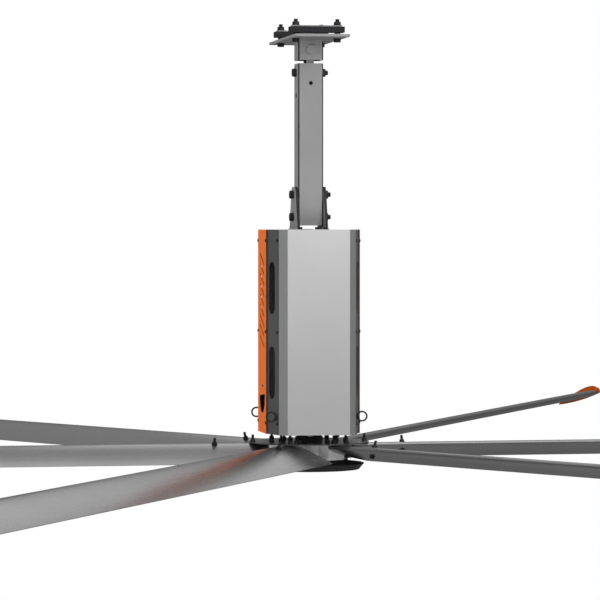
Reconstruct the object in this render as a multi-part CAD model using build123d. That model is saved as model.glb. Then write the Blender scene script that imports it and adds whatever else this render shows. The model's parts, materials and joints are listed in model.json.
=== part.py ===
"""Industrial ceiling fan with six long blades, hung from a beam clamp.

All sizes are in millimetres. Z is up and the origin is the centre of the ceiling plate's top face.
X runs across the ceiling plate and Y along it. The front cover faces -Y.
"""
from build123d import *
from math import cos, sin, pi, radians, sqrt
import os

os.makedirs("parts", exist_ok=True)

# Clearances shared by several pieces
run_gap = 0.08
fit_gap = 0.3
bolt_gap = 0.5
cut_over = 5.0

# Ceiling plate and the two clamp bars that grip a beam flange
plate_w = 170.0
plate_len = 510.0
plate_t = 8.0
plate_corner_r = 6.0
clamp_bolt_x = 130.0
clamp_bolt_y = 285.0
clamp_gap = 10.0
bar_depth = 44.0
bar_t = 18.0
bar_edge_r = 2.0
strip_len = 158.0
strip_depth = 28.0
strip_t = 4.0
spacer_r = 9.0
clamp_stud_rise = 20.0

# Hexagon fasteners: thread radius, width across flats, head height, flange radius, flange height
m8 = {"r": 4.0, "af": 13.0, "head": 6.5, "flange_r": 9.0, "flange": 1.5}
m12 = {"r": 6.0, "af": 19.0, "head": 9.0, "flange_r": 12.5, "flange": 2.5}
m14 = {"r": 7.0, "af": 22.0, "head": 10.0, "flange_r": 13.5, "flange": 2.5}
m18 = {"r": 9.0, "af": 27.0, "head": 11.5, "flange_r": 14.5, "flange": 1.5}
tip_chamfer = 1.0
bolt_end = 9.0

# Square tube and the yoke made from the same section
tube_w = 80.0
tube_wall = 6.0
tube_corner_r = 7.0
yoke_len = 61.0
yoke_pivot_drop = 29.2
swivel_gap = 10.4
tube_pivot_drop = 27.8
tube_len = 504.8
front_hole_r = 6.2
front_hole_drop = 61.3
side_hole_r = 10.0
side_hole_drop = 99.4

# Swivel link between the yoke and the tube
eye_r = 17.0
eye_end_gap = 1.0
neck_x = 23.5
neck_y = 55.0

# Ears that carry the housing on the tube
tube_foot_gap = 12.5
ear_t = 8.5
ear_base = 149.0
ear_foot_h = 8.0
ear_foot_in = 7.5
ear_h = 133.2
ear_top = 58.0
ear_shoulder = 80.0
ear_shoulder_drop = 12.0
ear_bolt_low = 39.1
ear_bolt_pitch = 70.0

# Housing outline, all half sizes from the fan's axis
housing_h = 633.7
front_half = 97.6
front_y = 184.0
cover_half = 121.2
cover_y = 157.0
side_half = 143.0
vent_half = 147.8
vent_y = 80.0
sheet_t = 2.0
seam = 2.0
top_plate_t = 6.0
bottom_plate_t = 12.0
vent_lip = 16.0
post_w = 16.0
grommet_r = 16.0
grommet_bore_r = 9.0
grommet_lip = 1.5
grommet_drop = 4.0
grommet_y = 20.0

# Slots of the side panels
slot_len = 162.0
slot_w = 46.0
slot_top_drop = 99.2
slot_pitch = 262.0
slot_middle_share = 0.62

# Vents of the middle panels
louvre_count = 9
louvre_len = 96.0
louvre_w = 9.0
louvre_pitch = 32.0
louvre_top_drop = 92.0
louvre_tilt = 24.0
slit_rise = 146.7
slit_len = 52.0
slit_w = 5.0
port_w = 112.0
port_h = 62.0
port_rise = 123.2
port_slant = 10.0
port_top_r = 6.0

# Small screws of the sheets
screw_r = 2.5
screw_head_r = 5.0
screw_head_h = 2.6
screw_len = 7.0
screw_drop = 34.4
screw_inset = 6.0

# Eye nuts for guy wires
eye_ring_r = 16.9
eye_bore_r = 11.9
eye_ring_t = 5.0
eye_ring_edge = 1.7
eye_x = 142.8
eye_y = 146.0
eye_rise = 56.2
eye_foot_r = 9.0
eye_foot_h = 3.6

# Gear unit: tooth counts, module and places
tooth_module = 2.5
tooth_root_share = 1.2
tooth_tip_share = 0.85
tooth_root_width_share = 0.34
tooth_pitch_width_share = 0.22
tooth_tip_width_share = 0.12
wheel_teeth = 48
pinion_teeth = 12
slow_face = 30.0
fast_face = 20.0
case_wall = 8.0
case_floor = 12.0
case_h = 124.0
wheel_clear = 8.0
lid_t = 10.0
gear_gap = 3.0
lay_shaft_r = 10.0
out_shaft_r = 20.0
bearing_h = 14.0
out_bearing_r = 36.0
out_bearing_h = 16.0
lay_bearing_r = 19.0
motor_bearing_r = 24.0
lay_bearing_recess = 6.0
spigot_r = 44.0
spigot_h = 14.0

# Motor
motor_r = 72.0
motor_wall = 6.0
motor_h = 190.0
stator_bore_r = 42.0
stator_h = 110.0
stator_drop = 40.0
air_gap = 0.7
motor_shaft_r = 10.0
end_cap_t = 12.0
end_cap_boss_r = 34.0
end_cap_boss_h = 12.0

# Control box above the motor
control_w = 130.0
control_d = 90.0
control_h = 190.0
control_wall = 2.0
control_drop = 60.0
control_corner_r = 6.0

# Hub
hub_drop = 28.2
hub_plate_t = 3.4
hub_plate_r = 188.0
hub_h = 50.4
hub_core_r = 84.0
hub_core_bore_gap = 0.2
arm_w = 62.0
arm_reach = 131.0
arm_bolt_r = (88.0, 118.0)
pocket_start = 70.0
flange_r = 42.0
flange_h = 14.0
flange_bolt_r = 31.0
flange_bolt_count = 6
flange_screw_r = 4.0
flange_screw_head_r = 6.5
flange_screw_head_h = 6.0
shaft_end_gap = 4.0
strut_axis_drop = 16.3

# Struts inside the blades
strut_w = 46.0
strut_t = 10.0
strut_reach = 345.0

# Blades
blade_count = 6
fan_r = 3650.0
blade_root_r = 135.0
blade_chord = 174.0
blade_thick_share = 0.146
blade_camber_share = 0.02
camber_place_share = 0.4
blade_pitch = 17.0
blade_wall = 2.6
lead_edge = 40.4
trail_cut_share = 0.985
first_blade_angle = 1.5
blade_bolt_r = (178.0, 300.0)
stud_rise = 16.0
spar_web = 2.6
skin_gap = 0.8
nose_share = 0.05
tail_share = 0.86
skin_points = 15
cell_points = 5
end_points = 9
plug_points = 3

# Blade end plates
end_plate_t = 8.0
end_rise = 15.0
end_lip = 4.0
plug_len = 40.0
plug_gap = 0.5

# Dish under the hub
dish_rim_drop = 14.4
dish_h = 18.4
dish_rim_r = 173.6
dish_floor_r = 158.0
dish_t = 1.6
dish_post_r = 7.0
dish_post_place_r = 55.0
dish_post_count = 3

# Heights worked out from the sizes above
yoke_pivot_z = -plate_t - yoke_pivot_drop
yoke_bottom_z = -plate_t - yoke_len
tube_top_z = yoke_bottom_z - swivel_gap
tube_pivot_z = tube_top_z - tube_pivot_drop
tube_bottom_z = tube_top_z - tube_len
housing_top_z = tube_bottom_z - tube_foot_gap
housing_bottom_z = housing_top_z - housing_h
floor_z = housing_bottom_z + bottom_plate_t
hub_plate_z = housing_bottom_z - hub_drop
hub_top_z = hub_plate_z - hub_plate_t
hub_bottom_z = hub_top_z - hub_h
strut_z = hub_top_z - strut_axis_drop
rim_z = hub_bottom_z - dish_rim_drop
dish_z = rim_z - dish_h
up = (Align.CENTER, Align.CENTER, Align.MIN)
down = (Align.CENTER, Align.CENTER, Align.MAX)

# Gear sizes worked out from module and teeth
wheel_pitch_r = tooth_module * wheel_teeth / 2
pinion_pitch_r = tooth_module * pinion_teeth / 2
gear_centres = wheel_pitch_r + pinion_pitch_r
wheel_tip_r = wheel_pitch_r + tooth_module
case_r = wheel_tip_r + wheel_clear
case_bottom_z = floor_z
cavity_z = case_bottom_z + case_floor
lid_z = case_bottom_z + case_h
slow_z = cavity_z + gear_gap + bearing_h
fast_z = lid_z - gear_gap - fast_face
lid_top_z = lid_z + lid_t


def save(name, *solids):
    """Write one node's solids to its own file.

    Args:
        name: node name, and the file's name.
        solids: one or more shapes.
    """
    shape = solids[0] if len(solids) == 1 else Compound(children=list(solids))
    shape.label = name
    export_step(shape, f"parts/{name}.step")


def block(x0, x1, y0, y1, z0, z1):
    """Return a box between two corners."""
    return Pos((x0 + x1) / 2, (y0 + y1) / 2, (z0 + z1) / 2) * Box(x1 - x0, y1 - y0, z1 - z0)


def hexagon(size, height):
    """Return a hexagonal prism standing on z=0."""
    return extrude(RegularPolygon(size["af"] / 2, 6, major_radius=False), height)


def bolt(size, grip, rise):
    """Return a bolt whose head lies below z=0 and whose shank runs up past the grip.

    Args:
        size: fastener sizes.
        grip: height that the bolt clamps.
        rise: length of thread beyond the grip.
    """
    shank = Cylinder(size["r"], grip + rise, align=up)
    shank = chamfer(shank.edges().group_by(Axis.Z)[-1], tip_chamfer)
    flange = Cylinder(size["flange_r"], size["flange"], align=down)
    head = Pos(0, 0, -size["flange"] - size["head"]) * hexagon(size, size["head"])
    return shank + flange + head


def nut(size):
    """Return a flanged nut standing on z=0."""
    body = Cylinder(size["flange_r"], size["flange"], align=up)
    body += Pos(0, 0, size["flange"]) * hexagon(size, size["head"])
    return body - Cylinder(size["r"] + run_gap, size["flange"] + size["head"], align=up)


def pin_hole(radius, length):
    """Return a cutting cylinder centred on the origin along Z."""
    return Cylinder(radius, length + 2 * cut_over)


along_x = Rot(0, 90, 0)
along_y = Rot(-90, 0, 0)


def square_tube(length):
    """Return a rounded square tube standing on z=0."""
    outer = RectangleRounded(tube_w, tube_w, tube_corner_r)
    inner_w = tube_w - 2 * tube_wall
    inner = RectangleRounded(inner_w, inner_w, tube_corner_r - tube_wall)
    return extrude(outer - inner, length)


def bent_sheet(points, height):
    """Return a bent sheet standing on z=0, its thickness on the left of the given line."""
    with BuildSketch() as section:
        with BuildLine():
            Polyline(*points)
            offset(amount=sheet_t, side=Side.LEFT)
        make_face()
    return extrude(section.sketch, height)


def mirrored_y(shape):
    """Return the shape mirrored front to back."""
    return mirror(shape, Plane.XZ)


def mirrored_x(shape):
    """Return the shape mirrored left to right."""
    return mirror(shape, Plane.YZ)


# Ceiling body


def clamp_places():
    """Return the four places of the clamp bolts."""
    return [Pos(x, y, 0) for x in (-clamp_bolt_x / 2, clamp_bolt_x / 2)
            for y in (-clamp_bolt_y / 2, clamp_bolt_y / 2)]


def ceiling_plate():
    """Return the plate that lies under the beam flange."""
    plate = Pos(0, 0, -plate_t) * extrude(RectangleRounded(plate_w, plate_len, plate_corner_r), plate_t)
    for place in clamp_places():
        plate -= place * pin_hole(m12["r"] + bolt_gap, plate_t)
    return plate


def clamp_pair(width, depth, height, z):
    """Return two equal bars across the ceiling plate, at the two bolt rows."""
    bars = []
    for y in (-clamp_bolt_y / 2, clamp_bolt_y / 2):
        bar = Box(width, depth, height, align=up)
        bar = fillet(bar.edges().filter_by(Axis.Z), bar_edge_r)
        for x in (-clamp_bolt_x / 2, clamp_bolt_x / 2):
            bar -= Pos(x, 0, 0) * pin_hole(m12["r"] + bolt_gap, 2 * height)
        bars.append(Pos(0, y, z) * bar)
    return bars


def clamp_hardware():
    """Write the beam clamp: bars, strips, spacers, bolts and nuts."""
    strip_z = clamp_gap + bar_t
    nut_z = strip_z + strip_t
    spacer = Cylinder(spacer_r, clamp_gap, align=up)
    spacer -= pin_hole(m12["r"] + bolt_gap, 2 * clamp_gap)
    stud = bolt(m12, nut_z + plate_t, clamp_stud_rise)
    save("ceiling_plate", ceiling_plate())
    save("clamp_bars", *clamp_pair(plate_w, bar_depth, bar_t, clamp_gap))
    save("clamp_strips", *clamp_pair(strip_len, strip_depth, strip_t, strip_z))
    save("clamp_spacers", *[place * spacer for place in clamp_places()])
    save("clamp_bolts", *[place * Pos(0, 0, -plate_t) * stud for place in clamp_places()])
    save("clamp_nuts", *[place * Pos(0, 0, nut_z) * nut(m12) for place in clamp_places()])


def yoke():
    """Write the yoke under the ceiling plate with its pivot bolt and nut."""
    body = Pos(0, 0, yoke_bottom_z) * square_tube(yoke_len)
    pivot = Pos(0, 0, yoke_pivot_z) * along_y
    body -= pivot * pin_hole(m18["r"] + run_gap, tube_w)
    save("yoke_tube", body)
    start = pivot * Pos(0, 0, -tube_w / 2)
    save("yoke_pivot_bolt", start * bolt(m18, tube_w, m18["head"] + bolt_end))
    save("yoke_pivot_nut", pivot * Pos(0, 0, tube_w / 2) * nut(m18))


# Swivel link


def swivel_link():
    """Write the link with two crossed eyes, one on each pivot bolt."""
    eye_len = tube_w - 2 * tube_wall - 2 * eye_end_gap
    top = Pos(0, 0, yoke_pivot_z) * along_y
    low = Pos(0, 0, tube_pivot_z) * along_x
    link = top * Cylinder(eye_r, eye_len) + low * Cylinder(eye_r, eye_len)
    link += block(-neck_x / 2, neck_x / 2, -neck_y / 2, neck_y / 2, tube_pivot_z, yoke_pivot_z)
    link -= top * pin_hole(m18["r"] + run_gap, eye_len)
    link -= low * pin_hole(m14["r"] + run_gap, eye_len)
    save("swivel_link", link)


# Drop tube and ears


def ear_bolt_heights():
    """Return the heights of the two bolts through the ears."""
    return [housing_top_z + ear_bolt_low, housing_top_z + ear_bolt_low + ear_bolt_pitch]


def drop_tube():
    """Write the drop tube with its pivot bolt and nut."""
    tube = Pos(0, 0, tube_bottom_z) * square_tube(tube_len)
    pivot = Pos(0, 0, tube_pivot_z) * along_x
    tube -= pivot * pin_hole(m14["r"] + run_gap, tube_w)
    for height in ear_bolt_heights():
        tube -= Pos(0, 0, height) * along_x * pin_hole(m14["r"] + bolt_gap, tube_w)
    front = Cylinder(front_hole_r, tube_wall + cut_over)
    tube -= Pos(0, -tube_w / 2, tube_top_z - front_hole_drop) * along_y * front
    side = Cylinder(side_hole_r, tube_wall + cut_over)
    tube -= Pos(-tube_w / 2, 0, tube_top_z - side_hole_drop) * along_x * side
    save("drop_tube", tube)
    start = pivot * Pos(0, 0, -tube_w / 2)
    save("tube_pivot_bolt", start * bolt(m14, tube_w, m14["head"] + bolt_end))
    save("tube_pivot_nut", pivot * Pos(0, 0, tube_w / 2) * nut(m14))


def ear():
    """Return the right-hand ear plate."""
    right = [(ear_base / 2, 0), (ear_base / 2, ear_foot_h),
             (ear_shoulder / 2, ear_h - ear_shoulder_drop), (ear_top / 2, ear_h)]
    left = [(-y, z) for y, z in reversed(right)]
    with BuildSketch(Plane.YZ) as outline:
        with BuildLine():
            Polyline(*(right + left), close=True)
        make_face()
    plate = Pos(tube_w / 2, 0, housing_top_z) * extrude(outline.sketch, ear_t)
    plate += block(tube_w / 2 - ear_foot_in, tube_w / 2, -ear_base / 2, ear_base / 2,
                   housing_top_z, housing_top_z + ear_foot_h)
    for height in ear_bolt_heights():
        plate -= Pos(0, 0, height) * along_x * pin_hole(m14["r"] + bolt_gap, 2 * tube_w)
    return plate


def ears():
    """Write both ears with their through bolts and nuts."""
    grip = tube_w + 2 * ear_t
    places = [Pos(0, 0, height) * along_x for height in ear_bolt_heights()]
    save("ear_right", ear())
    save("ear_left", mirrored_x(ear()))
    through = bolt(m14, grip, m14["head"] + bolt_end)
    save("ear_bolts", *[place * Pos(0, 0, -grip / 2) * through for place in places])
    save("ear_nuts", *[place * Pos(0, 0, grip / 2) * nut(m14) for place in places])


# Housing


def housing_outline(inset):
    """Return the closed outline inside the covers, drawn in by the inset."""
    quarter = [(front_half, front_y), (cover_half, cover_y), (side_half, vent_y)]
    right = [(x, -y) for x, y in quarter] + [(x, y) for x, y in reversed(quarter)]
    left = [(-x, y) for x, y in right]
    with BuildSketch() as outline:
        with BuildLine():
            Polyline(*(right + list(reversed(left))), close=True)
        make_face()
        offset(amount=-inset, kind=Kind.INTERSECTION)
    return outline.sketch


def post_place():
    """Return the centre of the front right corner post."""
    inset = sheet_t + post_w / 2 + screw_inset
    return cover_half - inset, -cover_y + inset / 2


def end_plates():
    """Write the housing's top and bottom plates and the corner posts."""
    top = Pos(0, 0, housing_top_z - top_plate_t) * extrude(housing_outline(sheet_t), top_plate_t)
    top -= Pos(0, grommet_y, housing_top_z) * pin_hole(grommet_r, top_plate_t)
    bottom = Pos(0, 0, housing_bottom_z) * extrude(housing_outline(sheet_t), bottom_plate_t)
    bottom -= Pos(0, 0, floor_z) * pin_hole(spigot_r, 2 * bottom_plate_t)
    x, y = post_place()
    post = block(x - post_w / 2, x + post_w / 2, y - post_w / 2, y + post_w / 2,
                 floor_z, housing_top_z - top_plate_t)
    save("top_plate", top)
    save("bottom_plate", bottom)
    pair = [post, mirrored_y(post)]
    save("corner_posts", *(pair + [mirrored_x(shape) for shape in pair]))
    ring = Cylinder(grommet_r, top_plate_t, align=down)
    ring += Pos(0, 0, -top_plate_t) * Cylinder(grommet_r + grommet_lip, grommet_drop, align=down)
    ring += Cylinder(grommet_r + grommet_lip, grommet_lip, align=up)
    ring -= pin_hole(grommet_bore_r, 2 * top_plate_t + grommet_drop)
    save("cable_grommet", Pos(0, grommet_y, housing_top_z) * ring)


def covers():
    """Write the bent front and rear covers."""
    points = [(-cover_half, -cover_y), (-front_half, -front_y),
              (front_half, -front_y), (cover_half, -cover_y)]
    cover = Pos(0, 0, housing_bottom_z) * bent_sheet(points, housing_h)
    save("front_cover", cover)
    save("rear_cover", mirrored_y(cover))


def side_direction():
    """Return the unit vector along the front right side panel and its length."""
    dx, dy = side_half - cover_half, cover_y - vent_y
    length = sqrt(dx * dx + dy * dy)
    return dx / length, dy / length, length


def screw_heights():
    """Return the three heights of the small screws."""
    return [housing_top_z - screw_drop, housing_top_z - housing_h / 2, housing_bottom_z + screw_drop]


def side_screw_places():
    """Return the places of the screws along the front right side panel's seam."""
    ux, uy, length = side_direction()
    along = seam + screw_inset
    return [Plane(origin=(cover_half + ux * along, -cover_y + uy * along, height),
                  z_dir=(uy, -ux, 0)).location for height in screw_heights()]


def vent_screw_places(side=-1):
    """Return the places of the screws along one edge of the right middle panel."""
    return [Plane(origin=(vent_half, side * (vent_y - screw_inset), height),
                  z_dir=(1, 0, 0)).location for height in screw_heights()]


def side_panel():
    """Return the front right side panel with its two round-ended slots."""
    ux, uy, length = side_direction()
    start = (cover_half + ux * seam, -cover_y + uy * seam)
    points = [start, (side_half, -vent_y), (side_half, -vent_y + vent_lip)]
    panel = Pos(0, 0, housing_bottom_z) * bent_sheet(points, housing_h)
    along = length * slot_middle_share
    slot = SlotOverall(slot_len, slot_w)
    for step in (0, 1):
        height = housing_top_z - slot_top_drop - slot_len / 2 - step * slot_pitch
        face = Plane(origin=(cover_half + ux * along, -cover_y + uy * along, height),
                     x_dir=(0, 0, 1), z_dir=(uy, -ux, 0))
        panel -= extrude(face * slot, sheet_t + cut_over, both=True)
    for place in side_screw_places() + vent_screw_places():
        panel -= place * pin_hole(screw_r + fit_gap, screw_len)
    return panel


def vent_panel():
    """Return the right-hand middle panel with louvres, a slit and a round-bottomed port."""
    back = side_half + fit_gap
    points = [(back, -vent_y), (vent_half, -vent_y), (vent_half, vent_y), (back, vent_y)]
    panel = Pos(0, 0, housing_bottom_z) * bent_sheet(points, housing_h)
    reach = sheet_t + cut_over
    face = Plane(origin=(vent_half, 0, housing_top_z), x_dir=(0, 1, 0), z_dir=(1, 0, 0))
    louvre = Rot(0, 0, louvre_tilt) * SlotOverall(louvre_len, louvre_w)
    for step in range(louvre_count):
        cut = face * Pos(0, -louvre_top_drop - step * louvre_pitch) * louvre
        panel -= extrude(cut, reach, both=True)
    low_face = Plane(origin=(vent_half, 0, housing_bottom_z), x_dir=(0, 1, 0), z_dir=(1, 0, 0))
    panel -= extrude(low_face * Pos(0, slit_rise) * SlotOverall(slit_len, slit_w), reach, both=True)
    panel -= extrude(low_face * Pos(0, port_rise) * port_outline(), reach, both=True)
    for place in vent_screw_places(-1) + vent_screw_places(1):
        panel -= place * pin_hole(screw_r + fit_gap, screw_len)
    return panel


def port_outline():
    """Return the port's outline: a slanted top edge over a round bottom."""
    half = port_w / 2
    shoulder = port_slant + port_top_r
    with BuildSketch() as outline:
        with BuildLine():
            Polyline((-half, -shoulder), (-half, 0), (half, -port_slant), (half, -shoulder))
            ThreePointArc((half, -shoulder), (0, -port_h), (-half, -shoulder))
        make_face()
    return outline.sketch


def panels():
    """Write the four side panels and the two middle panels."""
    side = side_panel()
    vent = vent_panel()
    save("side_panel_front_right", side)
    save("side_panel_rear_right", mirrored_y(side))
    save("side_panel_front_left", mirrored_x(side))
    save("side_panel_rear_left", mirrored_x(mirrored_y(side)))
    save("vent_panel_right", vent)
    save("vent_panel_left", mirrored_x(vent))


def panel_screws():
    """Write the small screws along the edges of the side and middle panels."""
    screw = Cylinder(screw_head_r, screw_head_h, align=up) + Cylinder(screw_r, screw_len, align=down)
    screw = fillet(screw.edges().group_by(Axis.Z)[-1], screw_head_h / 2)
    quarter = [place * screw for place in side_screw_places() + vent_screw_places()]
    half = quarter + [mirrored_y(shape) for shape in quarter]
    save("panel_screws", *(half + [mirrored_x(shape) for shape in half]))


def eye_nuts():
    """Write the four ring nuts for guy wires at the housing's lower corners."""
    ring = Cylinder(eye_ring_r, eye_ring_t) - Cylinder(eye_bore_r, eye_ring_t)
    ring = fillet(ring.edges(), eye_ring_edge)
    height = housing_bottom_z + eye_rise
    ux, uy, length = side_direction()
    seat_x = cover_half + (cover_y - eye_y + eye_foot_r) * ux / uy
    centre = Pos(eye_x, -eye_y, height)
    foot = Pos(seat_x + fit_gap, -eye_y, height) * along_x * Cylinder(eye_foot_r, eye_foot_h, align=up)
    eye = centre * along_y * ring + foot
    pair = [eye, mirrored_y(eye)]
    save("eye_nuts", *(pair + [mirrored_x(shape) for shape in pair]))


# Gear unit


def gear(teeth, face_width, turn):
    """Return a spur gear standing on z=0.

    Args:
        teeth: tooth count.
        face_width: height of the gear.
        turn: angle in degrees of the first tooth's centre from +X.
    """
    pitch_r = tooth_module * teeth / 2
    step = 2 * pi / teeth
    rings = [(pitch_r - tooth_root_share * tooth_module, tooth_root_width_share),
             (pitch_r, tooth_pitch_width_share),
             (pitch_r + tooth_tip_share * tooth_module, tooth_tip_width_share)]
    points = []
    for tooth in range(teeth):
        centre = radians(turn) + tooth * step
        flank = [(r, centre - half * step) for r, half in rings]
        flank += [(r, centre + half * step) for r, half in reversed(rings)]
        points += [(r * cos(a), r * sin(a)) for r, a in flank]
    return extrude(make_face(Polyline(*points, close=True)), face_width)


def bearing(outer, inner, height):
    """Return a bearing ring standing on z=0."""
    return Cylinder(outer, height, align=up) - Cylinder(inner + run_gap, height, align=up)


def case_outline(radius):
    """Return the outline of two circles on the gear centres, joined by their tangents."""
    middle = Rectangle(2 * radius, gear_centres, align=(Align.CENTER, Align.MIN))
    return Circle(radius) + Pos(0, gear_centres) * Circle(radius) + middle


def lay_end_z():
    """Return the bottom and top heights of the layshaft's bearings."""
    return cavity_z - lay_bearing_recess, lid_z + lay_bearing_recess


def gear_unit():
    """Write the gear case with lid, bearings and seal."""
    lay = Pos(0, gear_centres, 0)
    low_z, high_z = lay_end_z()
    case = Pos(0, 0, case_bottom_z) * extrude(case_outline(case_r + case_wall), case_h)
    case -= Pos(0, 0, cavity_z) * extrude(case_outline(case_r), case_h)
    case += Pos(0, 0, housing_bottom_z - fit_gap) * Cylinder(
        spigot_r - fit_gap, bottom_plate_t + fit_gap, align=up)
    case -= Pos(0, 0, case_bottom_z) * pin_hole(out_bearing_r, 2 * case_floor + bottom_plate_t)
    case -= lay * Pos(0, 0, low_z) * Cylinder(lay_bearing_r, bearing_h, align=up)
    lid = Pos(0, 0, lid_z) * extrude(case_outline(case_r + case_wall), lid_t)
    lid -= Pos(0, 0, lid_z) * pin_hole(motor_bearing_r, 2 * lid_t)
    lid -= lay * Pos(0, 0, high_z) * Cylinder(lay_bearing_r, lid_t, align=down)
    out_z = cavity_z - out_bearing_h
    seal_z = housing_bottom_z
    rings = [
        Pos(0, 0, out_z) * bearing(out_bearing_r, out_shaft_r, out_bearing_h),
        lay * Pos(0, 0, low_z) * bearing(lay_bearing_r, lay_shaft_r, bearing_h),
        lay * Pos(0, 0, lid_z) * bearing(lay_bearing_r, lay_shaft_r, lay_bearing_recess),
        Pos(0, 0, lid_z) * bearing(motor_bearing_r, motor_shaft_r, lid_t),
    ]
    save("gearbox_case", case)
    save("gearbox_lid", lid)
    save("gear_bearings", *rings)
    seal = Pos(0, 0, seal_z) * bearing(out_bearing_r, out_shaft_r, out_z - seal_z)
    save("shaft_seal", seal)


def layshaft():
    """Write the cluster gear: shaft, driven wheel and pinion in one piece."""
    low_z, high_z = lay_end_z()
    half_step = 180 / wheel_teeth
    shaft = Pos(0, 0, low_z) * Cylinder(lay_shaft_r, high_z - low_z, align=up)
    shaft += Pos(0, 0, slow_z) * gear(pinion_teeth, slow_face, -90)
    shaft += Pos(0, 0, fast_z) * gear(wheel_teeth, fast_face, -90 + half_step)
    save("layshaft", Pos(0, gear_centres, 0) * shaft)


def motor():
    """Write the motor: case, stator, end cap and rotor with its pinion."""
    base_z = lid_top_z
    top_z = base_z + motor_h
    case = Pos(0, 0, base_z) * Cylinder(motor_r, motor_h, align=up)
    case -= Pos(0, 0, base_z) * Cylinder(motor_r - motor_wall, motor_h, align=up)
    stator_z = base_z + stator_drop
    stator = Pos(0, 0, stator_z) * Cylinder(motor_r - motor_wall, stator_h, align=up)
    stator -= Pos(0, 0, stator_z) * Cylinder(stator_bore_r, stator_h, align=up)
    cap = Pos(0, 0, top_z) * Cylinder(motor_r, end_cap_t, align=up)
    cap += Pos(0, 0, top_z) * Cylinder(end_cap_boss_r, end_cap_boss_h, align=down)
    cap -= Pos(0, 0, top_z - end_cap_boss_h) * Cylinder(motor_shaft_r + run_gap, 2 * end_cap_boss_h, align=up)
    rotor = Pos(0, 0, stator_z) * Cylinder(stator_bore_r - air_gap, stator_h, align=up)
    shaft_z = fast_z - gear_gap / 2
    rotor += Pos(0, 0, shaft_z) * Cylinder(motor_shaft_r, top_z - shaft_z, align=up)
    rotor += Pos(0, 0, fast_z) * gear(pinion_teeth, fast_face, 90)
    save("motor_case", case)
    save("motor_stator", stator)
    save("motor_end_cap", cap)
    save("motor_rotor", rotor)


def control_box():
    """Write the hollow control box behind the front cover."""
    top_z = housing_top_z - top_plate_t - control_drop
    outer = RectangleRounded(control_w, control_d, control_corner_r)
    inner = RectangleRounded(control_w - 2 * control_wall, control_d - 2 * control_wall,
                             control_corner_r - control_wall)
    shell = extrude(outer, control_h)
    shell -= Pos(0, 0, control_wall) * extrude(inner, control_h - 2 * control_wall)
    centre_y = -(front_y - sheet_t - control_d / 2)
    save("control_box", Pos(0, centre_y, top_z - control_h) * shell)


# Rotor


def around(place_r, count, start=0.0):
    """Return places on a circle about the fan's axis, each turned to face outwards."""
    return [Rot(0, 0, start + step * 360 / count) * Pos(place_r, 0, 0) for step in range(count)]


def blade_angles():
    """Return the angle of each blade about the fan's axis."""
    return [first_blade_angle + step * 360 / blade_count for step in range(blade_count)]


def strut_frame(angle):
    """Return the placement of one strut: X outwards, Y to the trailing edge, Z its normal.

    Args:
        angle: the blade's angle in degrees.
    """
    return Rot(0, 0, angle) * Pos(0, 0, strut_z) * Rot(-blade_pitch, 0, 0)


def strut():
    """Return one strut along +X, bored for its bolts."""
    return block(pocket_start + fit_gap, strut_reach, -strut_w / 2, strut_w / 2, -strut_t / 2, strut_t / 2)


def upright_bores(radius):
    """Return the cutting cylinders of the upright bolts of one arm along +X."""
    length = hub_h + hub_plate_t + hub_drop
    places = arm_bolt_r + (blade_bolt_r[0],)
    return [Pos(r, 0, strut_z) * pin_hole(radius, length) for r in places]


def tilted_bore(radius):
    """Return the cutting cylinder of the outer blade bolt, square to the strut."""
    return Pos(blade_bolt_r[1], 0, 0) * pin_hole(radius, blade_chord)


def drilled(shape, angle):
    """Return the shape with all bolt bores of one blade cut out."""
    for bore in upright_bores(m8["r"] + bolt_gap):
        shape -= Rot(0, 0, angle) * bore
    return shape - strut_frame(angle) * tilted_bore(m8["r"] + bolt_gap)


def output_shaft():
    """Write the slow shaft with its gear wheel."""
    top_z = slow_z + slow_face + gear_gap
    bottom_z = hub_bottom_z + shaft_end_gap
    shaft = Pos(0, 0, bottom_z) * Cylinder(out_shaft_r, top_z - bottom_z, align=up)
    wheel = Pos(0, 0, slow_z) * gear(wheel_teeth, slow_face, 90 + 180 / wheel_teeth)
    wheel -= Pos(0, 0, slow_z) * Cylinder(out_shaft_r, slow_face, align=up)
    save("output_shaft", shaft)
    save("output_gear", wheel)


def shaft_flange():
    """Write the round flange on the shaft, with its cap screws."""
    body = Pos(0, 0, hub_plate_z) * Cylinder(flange_r, flange_h, align=up)
    body -= Pos(0, 0, hub_plate_z) * Cylinder(out_shaft_r, flange_h, align=up)
    screws = []
    for place in around(flange_bolt_r, flange_bolt_count):
        bore = place * Pos(0, 0, hub_plate_z) * pin_hole(flange_screw_r + fit_gap, 2 * flange_h)
        body -= bore
        head = Cylinder(flange_screw_head_r, flange_screw_head_h, align=up)
        screw = head + Cylinder(flange_screw_r, flange_h + hub_plate_t + flange_h, align=down)
        screws.append(place * Pos(0, 0, hub_plate_z + flange_h) * screw)
    save("shaft_flange", body)
    save("flange_screws", *screws)


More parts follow.
